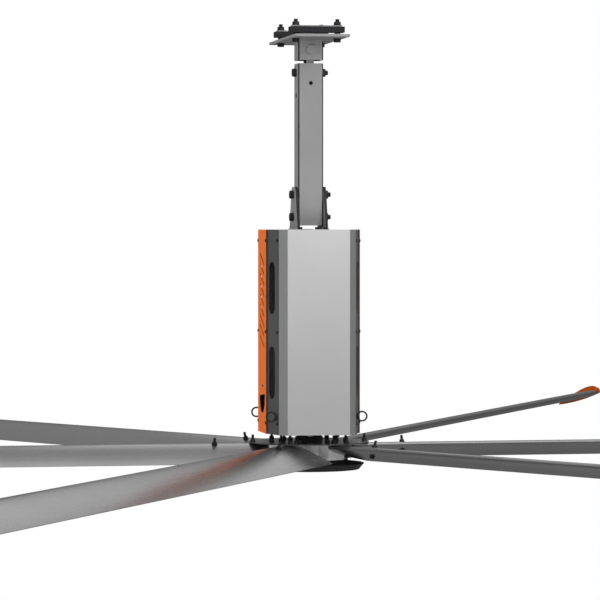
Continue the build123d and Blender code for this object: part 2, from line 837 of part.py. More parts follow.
def hub():
    """Write the hub casting with its six arms, and the round plate on top."""
    core = Pos(0, 0, hub_bottom_z) * Cylinder(hub_core_r, hub_h, align=up)
    for angle in blade_angles():
        core += Rot(0, 0, angle) * block(0, arm_reach, -arm_w / 2, arm_w / 2, hub_bottom_z, hub_top_z)
    core -= Pos(0, 0, hub_bottom_z) * pin_hole(out_shaft_r + hub_core_bore_gap, 2 * hub_h)
    half_w, half_t = strut_w / 2 + fit_gap / 2, strut_t / 2 + fit_gap / 2
    pocket = block(pocket_start, arm_reach + cut_over, -half_w, half_w, -half_t, half_t)
    plate = Pos(0, 0, hub_top_z) * Cylinder(hub_plate_r, hub_plate_t, align=up)
    plate -= Pos(0, 0, hub_top_z) * Cylinder(out_shaft_r + hub_core_bore_gap, hub_plate_t, align=up)
    for angle in blade_angles():
        core -= strut_frame(angle) * pocket
        core = drilled(core, angle)
        plate = drilled(plate, angle)
    for place in around(flange_bolt_r, flange_bolt_count):
        bore = place * Pos(0, 0, hub_top_z) * pin_hole(flange_screw_r + fit_gap, flange_h)
        plate -= bore
        core -= place * Pos(0, 0, hub_top_z) * Cylinder(
            flange_screw_r + fit_gap, flange_h + fit_gap, align=down)
    save("hub_casting", core)
    save("hub_plate", plate)


def section_height(share):
    """Return camber height and half thickness of the blade section at a share of the chord."""
    thick = blade_thick_share * blade_chord
    root = 0.2969 * sqrt(share) - 0.1260 * share
    half = 5 * thick * (root - 0.3516 * share ** 2 + 0.2843 * share ** 3 - 0.1015 * share ** 4)
    crest = camber_place_share
    if share < crest:
        rise = (2 * crest * share - share ** 2) / crest ** 2
    else:
        rise = (1 - 2 * crest + 2 * crest * share - share ** 2) / (1 - crest) ** 2
    return blade_camber_share * blade_chord * rise, half


def section_line(start, end, inset, side, count):
    """Return points of one skin of the section, spaced by a cosine law.

    Args:
        start: first share of the chord.
        end: last share of the chord.
        inset: distance inside the outer skin.
        side: 1 for the upper skin, -1 for the lower.
        count: number of points.
    """
    points = []
    for step in range(count):
        share = start + (end - start) * (1 - cos(pi * step / (count - 1))) / 2
        camber, half = section_height(share)
        points.append((share * blade_chord, camber + side * (half - inset)))
    return points


def blade_face():
    """Return the outer section face, with the leading edge at x=0."""
    upper = section_line(0, trail_cut_share, 0, 1, skin_points)
    lower = section_line(0, trail_cut_share, 0, -1, skin_points)
    with BuildSketch() as face:
        with BuildLine():
            for line in (upper, lower):
                for step in range(0, skin_points - 1, 2):
                    ThreePointArc(*line[step:step + 3])
            Line(upper[-1], lower[-1])
        make_face()
    return face.sketch


def cell_face(start, end):
    """Return one hollow cell of the section between two shares of the chord."""
    upper = section_line(start, end, blade_wall, 1, cell_points)
    lower = section_line(start, end, blade_wall, -1, cell_points)
    return make_face(Polyline(*(upper + list(reversed(lower))), close=True))


def blade_cells():
    """Return the three hollow cells: nose, spar and tail."""
    spar_start = (lead_edge - strut_w / 2 - fit_gap) / blade_chord
    spar_end = (lead_edge + strut_w / 2 + fit_gap) / blade_chord
    web = spar_web / blade_chord
    spar = cell_face(spar_start, spar_end)
    return [cell_face(nose_share, spar_start - web), spar, cell_face(spar_end + web, tail_share)]


def spanwise(face, start, length):
    """Return a blade section stretched along +X from the given radius, in the strut's frame.

    The section's leading edge lies on -Y and its upper skin on +Z.
    """
    camber, half = section_height(lead_edge / blade_chord)
    stand = Plane(origin=(start, -lead_edge, -camber), x_dir=(0, 1, 0), z_dir=(1, 0, 0))
    return extrude(stand * face, length)


def end_plate_face():
    """Return the outline of the blade's end plate, higher than the blade above its nose."""
    top = max(point[1] for point in section_line(0, 1, 0, 1, end_points)) + end_rise
    low = min(point[1] for point in section_line(0, 1, 0, -1, end_points)) - end_lip
    tail = blade_chord + end_lip
    with BuildSketch() as face:
        with BuildLine():
            ThreePointArc((-end_lip, low / 2), (-end_lip * 1.4, top * 0.24), (end_lip * 1.2, top * 0.62))
            Spline((end_lip * 1.2, top * 0.62), (blade_chord * 0.3, top), (blade_chord * 0.72, top * 0.42),
                   (tail, -end_lip / 2), tangents=[(0.75, 1), (1, -0.22)])
            Line((tail, -end_lip / 2), (tail, low / 2))
            Spline((tail, low / 2), (blade_chord * 0.35, low), (-end_lip, low / 2))
        make_face()
    return face.sketch


def blades():
    """Write the blades, their struts and their end plates."""
    start = blade_root_r
    length = fan_r - end_plate_t - start
    shell = spanwise(blade_face(), start, length)
    cells = blade_cells()
    for cell in cells:
        shell -= spanwise(cell, start, length)
    shoulder = fan_r - end_plate_t
    cap = spanwise(end_plate_face(), shoulder, end_plate_t)
    plug_start = (lead_edge - strut_w / 2 + plug_gap) / blade_chord
    plug_end = (lead_edge + strut_w / 2 - plug_gap) / blade_chord
    plug = section_plug(plug_start, plug_end)
    cap += spanwise(plug, shoulder - plug_len, plug_len)
    struts = []
    caps = []
    for index, angle in enumerate(blade_angles()):
        frame = strut_frame(angle)
        save(f"blade_{index + 1}", drilled(frame * shell, angle))
        struts.append(drilled(frame * strut(), angle))
        caps.append(frame * cap)
    save("blade_struts", *struts)
    save("blade_end_plates", *caps)


def section_plug(start, end):
    """Return the face of the plug that fills the spar cell at the blade's end."""
    upper = section_line(start, end, blade_wall + plug_gap, 1, plug_points)
    lower = section_line(start, end, blade_wall + plug_gap, -1, plug_points)
    return make_face(Polyline(*(upper + list(reversed(lower))), close=True))


def skin_height(side):
    """Return how far the blade's skin lies from the strut's axis plane at the bolts."""
    camber, half = section_height(lead_edge / blade_chord)
    return side * half


def rotor_bolts():
    """Write the hub bolts and the blade bolts, each with its nuts."""
    hub_bolts, blade_bolts, nuts = [], [], []
    top_nut = Pos(0, 0, hub_plate_z) * nut(m8)
    low, high = skin_height(-1) - skin_gap, skin_height(1) + skin_gap
    inner_low = strut_z + low / cos(radians(blade_pitch)) - m8["flange_r"] * sin(radians(blade_pitch))
    for angle in blade_angles():
        turn = Rot(0, 0, angle)
        for r in arm_bolt_r:
            long_bolt = bolt(m8, hub_plate_z - hub_bottom_z, m8["head"] + stud_rise)
            hub_bolts.append(turn * Pos(r, 0, hub_bottom_z) * long_bolt)
            nuts.append(turn * Pos(r, 0, 0) * top_nut)
        inner = bolt(m8, hub_plate_z - inner_low, m8["head"] + stud_rise)
        blade_bolts.append(turn * Pos(blade_bolt_r[0], 0, inner_low) * inner)
        nuts.append(turn * Pos(blade_bolt_r[0], 0, 0) * top_nut)
        outer = strut_frame(angle) * Pos(blade_bolt_r[1], 0, 0)
        blade_bolts.append(outer * Pos(0, 0, low) * bolt(m8, high - low, m8["head"] + stud_rise))
        nuts.append(outer * Pos(0, 0, high) * nut(m8))
    save("hub_bolts", *hub_bolts)
    save("blade_bolts", *blade_bolts)
    save("flange_nuts", *nuts)


def dish():
    """Write the round dish under the hub, with its posts."""
    with BuildSketch(Plane.XZ) as section:
        with BuildLine():
            Polyline((0, dish_z), (dish_floor_r, dish_z), (dish_rim_r, rim_z))
            offset(amount=dish_t, side=Side.LEFT)
        make_face()
    save("hub_dish", revolve(section.sketch, Axis.Z))
    post_h = hub_bottom_z - dish_z - dish_t
    post = Pos(0, 0, dish_z + dish_t) * Cylinder(dish_post_r, post_h, align=up)
    save("dish_posts", *[place * post for place in around(dish_post_place_r, dish_post_count)])


clamp_hardware()
yoke()
swivel_link()
drop_tube()
ears()
end_plates()
covers()
panels()
panel_screws()
eye_nuts()
gear_unit()
layshaft()
motor()
control_box()
output_shaft()
shaft_flange()
hub()
blades()
rotor_bolts()
dish()
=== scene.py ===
"""Looks of a large industrial ceiling fan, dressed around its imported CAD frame.

Every length is in metres, in the frame of the CAD part: Z up, with the origin on the top face of
the ceiling plate.
"""
from __future__ import annotations

import json
import logging
import math
from dataclasses import dataclass, field
from enum import Enum
from typing import Iterable, Sequence

import bmesh
import bpy
from mathutils import Matrix, Vector

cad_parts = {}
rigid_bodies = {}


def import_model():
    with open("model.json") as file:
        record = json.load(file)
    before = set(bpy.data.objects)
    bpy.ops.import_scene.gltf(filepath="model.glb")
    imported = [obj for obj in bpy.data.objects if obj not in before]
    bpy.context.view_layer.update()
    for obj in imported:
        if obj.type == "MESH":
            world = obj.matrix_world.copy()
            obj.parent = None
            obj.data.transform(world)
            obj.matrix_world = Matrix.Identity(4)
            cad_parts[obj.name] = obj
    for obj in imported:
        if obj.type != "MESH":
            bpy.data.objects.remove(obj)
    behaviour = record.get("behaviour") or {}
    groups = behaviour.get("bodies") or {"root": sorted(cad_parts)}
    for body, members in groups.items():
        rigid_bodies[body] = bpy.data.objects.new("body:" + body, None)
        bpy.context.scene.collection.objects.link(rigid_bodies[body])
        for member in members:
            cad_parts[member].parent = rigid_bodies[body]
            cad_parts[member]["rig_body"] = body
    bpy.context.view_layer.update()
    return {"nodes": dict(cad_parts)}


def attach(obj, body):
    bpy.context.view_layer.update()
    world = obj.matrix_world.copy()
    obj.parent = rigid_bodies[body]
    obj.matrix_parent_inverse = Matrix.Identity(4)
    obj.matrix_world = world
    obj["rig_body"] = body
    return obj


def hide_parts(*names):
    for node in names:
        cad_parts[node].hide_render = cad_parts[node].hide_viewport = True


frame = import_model()
LOG = logging.getLogger("ceiling_fan")
Colour = tuple[float, float, float]
Point = tuple[float, float, float]

# Height of the housing's top face
HOUSING_TOP = -0.5967
# How far apart two points may be and still be merged, on a CAD node and on a spun profile
NODE_GAP = 1e-6
SPIN_GAP = 1e-7
# Sockets of a Mix node that mixes colours
MIX_FACTOR, MIX_FIRST, MIX_SECOND, MIX_RESULT = 0, 6, 7, 2
WHITE = (1.0, 1.0, 1.0, 1.0)


class Body(str, Enum):
    """The moving bodies of the CAD frame."""

    CEILING = "ceiling"
    LINK = "link"
    DROP = "drop"
    MOTOR = "motor_rotor"
    LAYSHAFT = "layshaft"
    ROTOR = "rotor"


class Grain(Enum):
    """How the fine texture of a finish runs."""

    SPECKLE = "speckle"
    LENGTHWISE = "lengthwise"
    TURNED = "turned"
    CAST = "cast"


class Nodes:
    """A small helper that adds and joins the shader nodes of one material or world."""

    def __init__(self, owner: bpy.types.Material | bpy.types.World) -> None:
        """Clear the owner's node tree and keep it."""
        owner.use_nodes = True
        self.tree = owner.node_tree
        self.tree.nodes.clear()

    def add(self, kind: str, **values: object) -> bpy.types.Node:
        """Add one node and set its properties or named inputs.

        Args:
            kind: Blender's node type name without its ShaderNode prefix.
            values: node properties, or inputs by their name with underscores for spaces.

        Returns:
            The new node.
        """
        node = self.tree.nodes.new("ShaderNode" + kind)
        for name, value in values.items():
            if name in node.bl_rna.properties:
                setattr(node, name, value)
            else:
                node.inputs[name.replace("_", " ")].default_value = value
        return node

    def join(self, source: bpy.types.NodeSocket, target: bpy.types.NodeSocket) -> None:
        """Link one output socket to one input socket."""
        self.tree.links.new(source, target)

    def placed(self, kind: str, vector: bpy.types.NodeSocket, **values: object) -> bpy.types.Node:
        """Add one mapping or texture node that reads its place from a socket.

        Args:
            kind: Blender's node type name without its ShaderNode prefix.
            vector: the place on the surface.
            values: node properties or named inputs.

        Returns:
            The new node.
        """
        node = self.add(kind, **values)
        self.join(vector, node.inputs["Vector"])
        return node

    def ramp(self, source: bpy.types.NodeSocket, span: tuple[float, float],
             start: Colour, end: Colour) -> bpy.types.NodeSocket:
        """Map a factor onto two colours.

        Args:
            source: the factor.
            span: the factors at which the first colour ends and the second starts.
            start: first colour.
            end: second colour.

        Returns:
            The colour output.
        """
        node = self.add("ValToRGB")
        first, last = node.color_ramp.elements
        first.position, last.position = span
        first.color, last.color = (*start, 1.0), (*end, 1.0)
        self.join(source, node.inputs["Fac"])
        return node.outputs["Color"]

    def span(self, source: bpy.types.NodeSocket, to: tuple[float, float],
             given: tuple[float, float] = (0.0, 1.0)) -> bpy.types.NodeSocket:
        """Map one range of a factor onto another range.

        Args:
            source: the factor.
            to: the range of the result.
            given: the range of the factor.

        Returns:
            The mapped factor.
        """
        node = self.add("MapRange", From_Min=given[0], From_Max=given[1],
                        To_Min=to[0], To_Max=to[1])
        self.join(source, node.inputs["Value"])
        return node.outputs["Result"]

    def combine(self, operation: str, first: bpy.types.NodeSocket,
                second: bpy.types.NodeSocket | float) -> bpy.types.NodeSocket:
        """Combine a factor with another factor or with a number by a Math node.

        Args:
            operation: the Math node's operation.
            first: the first factor.
            second: the second factor, or a number.

        Returns:
            The combined factor.
        """
        node = self.add("Math", operation=operation)
        self.join(first, node.inputs[0])
        if isinstance(second, float):
            node.inputs[1].default_value = second
        else:
            self.join(second, node.inputs[1])
        return node.outputs[0]

    def mix_shaders(self, *sources: bpy.types.NodeSocket) -> bpy.types.NodeSocket:
        """Mix two shaders by a factor.

        Args:
            sources: the factor and the two shaders.

        Returns:
            The mixed shader.
        """
        node = self.add("MixShader")
        for source, target in zip(sources, node.inputs):
            self.join(source, target)
        return node.outputs[0]

    def end(self, kind: str, surface: bpy.types.NodeSocket) -> None:
        """Add the output node and feed it the finished surface."""
        self.join(surface, self.add(kind).inputs["Surface"])


# The share of its frequency that a grain keeps in the direction in which it is drawn out
LENGTHWISE_STRETCH = 0.006
TURNED_STRETCH = 0.08
# The fine texture, the wandering of the colour over large areas and the rubbed patches
FINE_NOISE = {"Scale": 1.0, "Detail": 4.0, "Roughness": 0.6}
BROAD_NOISE = {"Scale": 3.5, "Detail": 3.0}
BROAD_EDGE = (0.35, 0.65)
PATCH_NOISE = {"Scale": 60.0, "Detail": 6.0, "Roughness": 0.75}
PATCH_EDGE = (0.78, 0.84)
# The share by which the fine texture changes the roughness
ROUGH_SPREAD = 0.2


@dataclass(frozen=True)
class Finish:
    """One surface finish.

    Attributes:
        name: material name.
        slot: the record's material slot; not used.
        colour: base colour, linear.
        rough: mean roughness.
        metal: metallic share.
        grain: how the fine texture runs.
        size: size of the fine texture in metres.
        bump: depth of the fine texture in metres.
        drift: share by which the colour wanders over large areas.
        wear: share of the surface that is rubbed.
        worn: colour of the rubbed places.
        turn: angle about Z, in degrees, of a lengthwise grain.
        spec: specular level.
    """

    name: str
    slot: str
    colour: Colour
    rough: float
    metal: float = 0.0
    grain: Grain = Grain.SPECKLE
    size: float = 0.0012
    bump: float = 0.00004
    drift: float = 0.05
    wear: float = 0.0
    worn: Colour = (0.35, 0.35, 0.36)
    turn: float = 0.0
    spec: float = 0.5

    def scale(self) -> Point:
        """Return the texture's frequency along each axis."""
        f = 1.0 / self.size
        return {
            Grain.SPECKLE: (f, f, f),
            Grain.CAST: (f, f, f),
            Grain.LENGTHWISE: (f * LENGTHWISE_STRETCH, f, f),
            Grain.TURNED: (f * TURNED_STRETCH, f * TURNED_STRETCH, f),
        }[self.grain]

    def rub(self, n: Nodes, place: bpy.types.NodeSocket,
            colour: bpy.types.NodeSocket) -> bpy.types.NodeSocket:
        """Return the colour with the rubbed patches laid over it.

        Args:
            n: the material's nodes.
            place: the place on the surface.
            colour: the colour of the sound surface.

        Returns:
            The colour with its worn patches.
        """
        patch = n.placed("TexNoise", place, **PATCH_NOISE)
        edge = tuple(limit - self.wear for limit in PATCH_EDGE)
        mask = n.ramp(patch.outputs["Fac"], edge, (0.0, 0.0, 0.0), (1.0, 1.0, 1.0))
        mix = n.add("Mix", data_type="RGBA")
        n.join(mask, mix.inputs[MIX_FACTOR])
        n.join(colour, mix.inputs[MIX_FIRST])
        mix.inputs[MIX_SECOND].default_value = (*self.worn, 1.0)
        return mix.outputs[MIX_RESULT]

    def material(self) -> bpy.types.Material:
        """Build the procedural material, or return the one already built."""
        found = bpy.data.materials.get(self.name)
        if found is not None:
            return found
        made = bpy.data.materials.new(self.name)
        n = Nodes(made)
        place = n.add("TexCoord").outputs["Object"]
        turned = n.placed("Mapping", place, vector_type="TEXTURE",
                          Rotation=(0, 0, math.radians(self.turn))).outputs["Vector"]
        stretched = n.placed("Mapping", turned, vector_type="POINT",
                             Scale=self.scale()).outputs["Vector"]
        fine = n.placed("TexNoise", stretched, **FINE_NOISE).outputs["Fac"]
        broad = n.placed("TexNoise", turned, **BROAD_NOISE).outputs["Fac"]
        dark = tuple(c * (1 - self.drift) for c in self.colour)
        light = tuple(min(1.0, c * (1 + self.drift)) for c in self.colour)
        colour = n.ramp(broad, BROAD_EDGE, dark, light)
        if self.wear:
            colour = self.rub(n, turned, colour)
        shader = n.add("BsdfPrincipled", Metallic=self.metal, Specular_IOR_Level=self.spec)
        n.join(colour, shader.inputs["Base Color"])
        roughness = (self.rough * (1 - ROUGH_SPREAD), min(1.0, self.rough * (1 + ROUGH_SPREAD)))
        n.join(n.span(fine, roughness), shader.inputs["Roughness"])
        bump = n.add("Bump", Strength=1.0, Distance=self.bump)
        n.join(fine, bump.inputs["Height"])
        n.join(bump.outputs["Normal"], shader.inputs["Normal"])
        n.end("OutputMaterial", shader.outputs["BSDF"])
        return made


BLACK_OXIDE = Finish("black_oxide", "fastener_black", (0.009, 0.009, 0.01), 0.42,
                     size=0.0008, wear=0.05, worn=(0.05, 0.05, 0.052), spec=0.3)
# Black paint of the clamp bars and shaft flange; on the ears' edges the same black is painted
# shade, standing in for the dark reflection on those edges.
CLAMP_PAINT_AND_EAR_EDGE_SHADE = Finish("clamp_paint_and_ear_edge_painted_shade", "clamp_black", (0.02, 0.02, 0.022), 0.6,
                     size=0.0015, bump=0.00006, wear=0.03, spec=0.2)
TUBE_GREY = Finish("grey_powder_coat", "tube_grey", (0.275, 0.275, 0.28), 0.55,
                   size=0.0014, bump=0.00005)
# Painted shade: near black on the tubes' insides, on their rounded corners and on the swivel
# link's part inside the drop tube, standing in for the shade and dark reflection there.
PAINTED_TUBE_SHADE = Finish("tube_inside_and_corner_painted_shade", "tube_grey", (0.012, 0.012, 0.012), 0.8, spec=0.1)
COVER_SILVER = Finish("silver_powder_coat", "cover_silver", (0.55, 0.55, 0.555), 0.37, 0.88,
                      size=0.0009, bump=0.00003, drift=0.025)
PANEL_GRAPHITE = Finish("graphite_powder_coat", "panel_graphite", (0.08, 0.082, 0.084), 0.42,
                        bump=0.00006)
PANEL_ORANGE = Finish("orange_powder_coat", "panel_orange", (0.95, 0.2, 0.032), 0.5,
                      bump=0.00005, drift=0.03, spec=0.15)
# Painted shade: a darkened orange on the vent panels' front and rear lips.
PAINTED_LIP_SHADE = Finish("vent_panel_lip", "panel_orange", (0.045, 0.022, 0.014), 0.55, spec=0.2)
# Painted shade: a darkened orange on the louvre fins, standing in for the shade behind the slots.
PAINTED_FIN_SHADE = Finish("louvre_fin_painted_shade", "panel_orange", (0.03, 0.012, 0.008), 0.6, spec=0.2)
RUBBER = Finish("black_rubber", "rubber_black", (0.012, 0.012, 0.012), 0.7, size=0.001)
CASE_IRON = Finish("painted_cast_iron", "gear_case_iron", (0.12, 0.125, 0.13), 0.6, 0.2,
                   Grain.CAST, size=0.003, bump=0.0003)
MOTOR_ALLOY = Finish("die_cast_alloy", "motor_alloy", (0.4, 0.4, 0.42), 0.5, 0.7,
                     Grain.CAST, size=0.002, bump=0.0001)
BRIGHT_STEEL = Finish("machined_steel", "bright_steel", (0.5, 0.5, 0.5), 0.3, 0.95,
                      Grain.TURNED, size=0.0006)
HUB_ALLOY = Finish("hub_casting_alloy", "hub_alloy", (0.78, 0.775, 0.77), 0.5, 0.1,
                   Grain.CAST, size=0.0018, bump=0.00005, spec=0.3)
PLATE_ALLOY = Finish("polished_plate", "hub_alloy", (0.62, 0.62, 0.63), 0.17, 0.95,
                     size=0.0009, bump=0.000008, drift=0.03)
# Painted shade: a dark copy of the polished plate's metal on its rim.
PAINTED_RIM_SHADE = Finish("plate_rim_painted_shade", "hub_alloy", (0.07, 0.07, 0.072), 0.4, 0.4)
TIP_ORANGE = Finish("orange_moulding", "tip_orange", (0.46, 0.085, 0.004), 0.6,
                    size=0.002, spec=0.05)
DISH_GREY = Finish("dish_dark_coat", "dish_grey", (0.02, 0.02, 0.021), 0.5,
                   size=0.0013, spec=0.2)
DISH_INSIDE = Finish("dish_inside_black", "dish_grey", (0.02, 0.02, 0.02), 0.6, size=0.0013)


def blade_finish(index: int, angle: float) -> Finish:
    """Return the satin aluminium of one blade, its grain running along that blade."""
    return Finish(f"satin_anodised_{index}", "blade_alloy", (0.31, 0.31, 0.315), 0.28, 0.95,
                  Grain.LENGTHWISE, size=0.0009, bump=0.00002, drift=0.04, turn=angle)


NODE_FINISHES: dict[Finish, tuple[str, ...]] = {
    BLACK_OXIDE: ("clamp_bolts", "clamp_nuts", "clamp_spacers", "tube_pivot_bolt",
                  "tube_pivot_nut", "ear_bolts", "ear_nuts", "panel_screws", "eye_nuts",
                  "flange_screws", "hub_bolts", "blade_bolts", "flange_nuts", "dish_posts"),
    CLAMP_PAINT_AND_EAR_EDGE_SHADE: ("clamp_bars", "shaft_flange"),
    TUBE_GREY: ("ceiling_plate", "clamp_strips", "yoke_tube", "yoke_pivot_bolt",
                "yoke_pivot_nut", "swivel_link", "drop_tube", "ear_left", "ear_right"),
    COVER_SILVER: ("front_cover", "rear_cover"),
    PANEL_GRAPHITE: ("side_panel_front_left", "side_panel_front_right", "side_panel_rear_left",
                     "side_panel_rear_right", "top_plate", "bottom_plate", "corner_posts",
                     "control_box"),
    PANEL_ORANGE: ("vent_panel_left", "vent_panel_right"),
    RUBBER: ("cable_grommet", "shaft_seal"),
    CASE_IRON: ("gearbox_case", "gearbox_lid"),
    MOTOR_ALLOY: ("motor_case", "motor_end_cap"),
    BRIGHT_STEEL: ("gear_bearings", "motor_stator", "motor_rotor", "layshaft", "output_shaft",
                   "output_gear", "blade_struts"),
    HUB_ALLOY: ("hub_casting",),
    PLATE_ALLOY: ("hub_plate",),
    TIP_ORANGE: ("blade_end_plates",),
    DISH_GREY: ("hub_dish",),
}


def new_object(name: str, mesh: bmesh.types.BMesh) -> bpy.types.Object:
    """Turn a bmesh into an object of the scene.

    Args:
        name: the object's and its mesh's name.
        mesh: the bmesh, which is freed.

    Returns:
        The new object.
    """
    data = bpy.data.meshes.new(name)
    mesh.to_mesh(data)
    mesh.free()
    made = bpy.data.objects.new(name, data)
    bpy.context.scene.collection.objects.link(made)
    return made


def new_piece(name: str, mesh: bmesh.types.BMesh, body: Body, finish: Finish,
              smooth: float = 35.0) -> bpy.types.Object:
    """Turn a bmesh into a finished piece that rides on a body.

    Args:
        name: piece name.
        mesh: the bmesh, which is freed.
        body: the body that carries it.
        finish: its finish.
        smooth: edge angle in degrees up to which shading is smooth.

    Returns:
        The new object.
    """
    piece = new_object(name, mesh)
    piece.data.materials.append(finish.material())
    piece.data.shade_smooth()
    piece.data.set_sharp_from_angle(angle=math.radians(smooth))
    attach(piece, body.value)
    LOG.info("%s: %d faces on %s", name, len(piece.data.polygons), body.value)
    return piece


def coat_node(name: str, finish: Finish) -> None:
    """Give one CAD node its finish.

    Args:
        name: the CAD node.
        finish: its finish.
    """
    data = frame["nodes"][name].data
    data.materials.clear()
    data.materials.append(finish.material())


def merged_copy(node: str) -> bmesh.types.BMesh:
    """Copy a CAD node's mesh and merge its doubled points.

    Args:
        node: the CAD node.

    Returns:
        The merged copy.
    """
    mesh = bmesh.new()
    mesh.from_mesh(frame["nodes"][node].data)
    bmesh.ops.remove_doubles(mesh, verts=mesh.verts, dist=NODE_GAP)
    return mesh


def stand_in(piece: bpy.types.Object, name: str) -> None:
    """Even out a piece's shading and let it replace one CAD node."""
    piece.modifiers.new("weighted", "WEIGHTED_NORMAL").keep_sharp = True
    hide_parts(name)


@dataclass
class NodeDressing:
    """Puts a finish on every CAD node, and swaps the ones seen close for softened copies.

    Attributes:
        soft_edges: edge radius of each node that is remade with soft edges.
        second_finish: second finish of the softened copies that have one, painted shade for all
        but the dish's inside.
        flat_angle: angle in degrees below which neighbouring facets become one face.
        bevel_angle: angle in degrees above which an edge is rounded.
        smooth_angle: edge angle in degrees up to which a softened copy shades smoothly.
        dish_slope: share of a normal that makes a face of the dish an inner one.
        square_on: share of a normal above which a face looks along that axis.
        lip_y: distance from the middle at which the vent panels' lips start.
        tube_half: distance from the axis below which a wall lies inside a tube or on its corner.
        tube_slope: share of the upright normal below which a tube's face is a wall.
        link_z: height below which the swivel link is inside the drop tube.
        ear_side: share of the sideways normal below which a face of an ear is an edge.
        ear_top: share of the upright normal above which a face of an ear stays grey.
    """

    soft_edges: dict[str, float] = field(default_factory=lambda: {
        "clamp_bars": 0.0014, "clamp_strips": 0.0006, "ceiling_plate": 0.0012,
        "yoke_tube": 0.001, "drop_tube": 0.001, "ear_left": 0.0008, "ear_right": 0.0008,
        "front_cover": 0.0009, "rear_cover": 0.0009, "blade_end_plates": 0.002,
        "hub_plate": 0.0008, "hub_casting": 0.0012, "clamp_bolts": 0.0005,
        "clamp_nuts": 0.0005, "ear_bolts": 0.0005, "ear_nuts": 0.0005,
        "tube_pivot_bolt": 0.0005, "tube_pivot_nut": 0.0005, "yoke_pivot_bolt": 0.0005,
        "yoke_pivot_nut": 0.0005, "swivel_link": 0.0008, "hub_dish": 0.0006,
        "vent_panel_left": 0.0003, "vent_panel_right": 0.0003,
    })
    second_finish: dict[str, Finish] = field(default_factory=lambda: {
        # The ears' edges take the black as painted shade
        "ear_left": CLAMP_PAINT_AND_EAR_EDGE_SHADE, "ear_right": CLAMP_PAINT_AND_EAR_EDGE_SHADE, "hub_dish": DISH_INSIDE,
        # Painted shade on the hub plate's rim and on the vent panels' lips
        "hub_plate": PAINTED_RIM_SHADE, "vent_panel_left": PAINTED_LIP_SHADE, "vent_panel_right": PAINTED_LIP_SHADE,
        # Painted shade on the tubes' insides and rounded corners and on the link's part inside the
        # drop tube
        "drop_tube": PAINTED_TUBE_SHADE, "yoke_tube": PAINTED_TUBE_SHADE, "swivel_link": PAINTED_TUBE_SHADE,
    })
    flat_angle: float = 1.0
    bevel_angle: float = 32.0
    smooth_angle: float = 40.0
    dish_slope: float = 0.2
    square_on: float = 0.7
    lip_y: float = 0.077
    tube_half: float = 0.0395
    tube_slope: float = 0.5
    link_z: float = -0.0815
    ear_side: float = 0.6
    ear_top: float = 0.9

    def takes_second(self, name: str, face: bmesh.types.BMFace) -> bool:
        """Return whether a face takes its node's second finish.

        Args:
            name: the CAD node.
            face: a face of its softened copy.

        Returns:
            True for the dish's inside, and for the faces given painted shade: the hub plate's
            rim, the link's part in the drop tube, the tubes' insides and rounded corners, the
            vent panels' lips and the ears' edges.
        """
        centre, normal = face.calc_center_median(), face.normal
        if name == "hub_dish":
            outward = Vector((*centre.xy, 0.0)).normalized()
            return normal.z > self.dish_slope or normal.dot(outward) < -self.dish_slope
        # The hub plate's rim takes painted shade
        if name == "hub_plate":
            return abs(normal.z) < self.square_on
        # The link's part inside the drop tube, and below it the tubes' insides and rounded
        # corners, take painted shade
        if name == "swivel_link":
            return centre.z < self.link_z
        if name in ("drop_tube", "yoke_tube"):
            within = max(abs(centre.x), abs(centre.y)) < self.tube_half
            return within and abs(normal.z) < self.tube_slope
        # The vent panels' front and rear lips take painted shade
        if name.startswith("vent_panel"):
            return abs(centre.y) > self.lip_y and abs(normal.y) > self.square_on
        # The ears' edges, all faces but the broad sides and tops, take painted shade
        return abs(normal.x) < self.ear_side and normal.z < self.ear_top

    def finish_nodes(self) -> None:
        """Give every CAD node its finish, and a softened copy where it is seen close."""
        for finish, names in NODE_FINISHES.items():
            for name in names:
                coat_node(name, finish)
                if name in self.soft_edges:
                    self.soften(name, finish)

    def soften(self, name: str, finish: Finish) -> None:
        """Replace one CAD node by a merged copy with rounded edges.

        Args:
            name: the CAD node.
            finish: its finish.
        """
        mesh = merged_copy(name)
        bmesh.ops.dissolve_limit(mesh, angle_limit=math.radians(self.flat_angle),
                                 verts=mesh.verts, edges=mesh.edges)
        sharp = [e for e in mesh.edges if e.is_manifold
                 and e.calc_face_angle(0.0) > math.radians(self.bevel_angle)]
        bmesh.ops.bevel(mesh, geom=sharp, offset=self.soft_edges[name], offset_type="OFFSET",
                        segments=2, profile=0.5, affect="EDGES", clamp_overlap=True, material=-1)
        second = self.second_finish.get(name)
        if second is not None:
            for face in mesh.faces:
                face.material_index = int(self.takes_second(name, face))
        body = Body(frame["nodes"][name]["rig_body"])
        piece = new_piece("soft_" + name, mesh, body, finish, self.smooth_angle)
        if second is not None:
            piece.data.materials.append(second.material())
        stand_in(piece, name)


def profile_spin(points: Sequence[tuple[float, float]], steps: int) -> bmesh.types.BMesh:
    """Spin a closed profile about Z.

    Args:
        points: (radius, height) pairs.
        steps: number of segments.

    Returns:
        The closed ring.
    """
    mesh = bmesh.new()
    verts = [mesh.verts.new((r, 0.0, z)) for r, z in points]
    edges = [mesh.edges.new((a, b)) for a, b in zip(verts, verts[1:] + verts[:1])]
    bmesh.ops.spin(mesh, geom=verts + edges, cent=(0, 0, 0), axis=(0, 0, 1), dvec=(0, 0, 0),
                   angle=2 * math.pi, steps=steps, use_merge=True, use_duplicate=False)
    bmesh.ops.remove_doubles(mesh, verts=mesh.verts, dist=SPIN_GAP)
    bmesh.ops.recalc_face_normals(mesh, faces=mesh.faces)
    return mesh


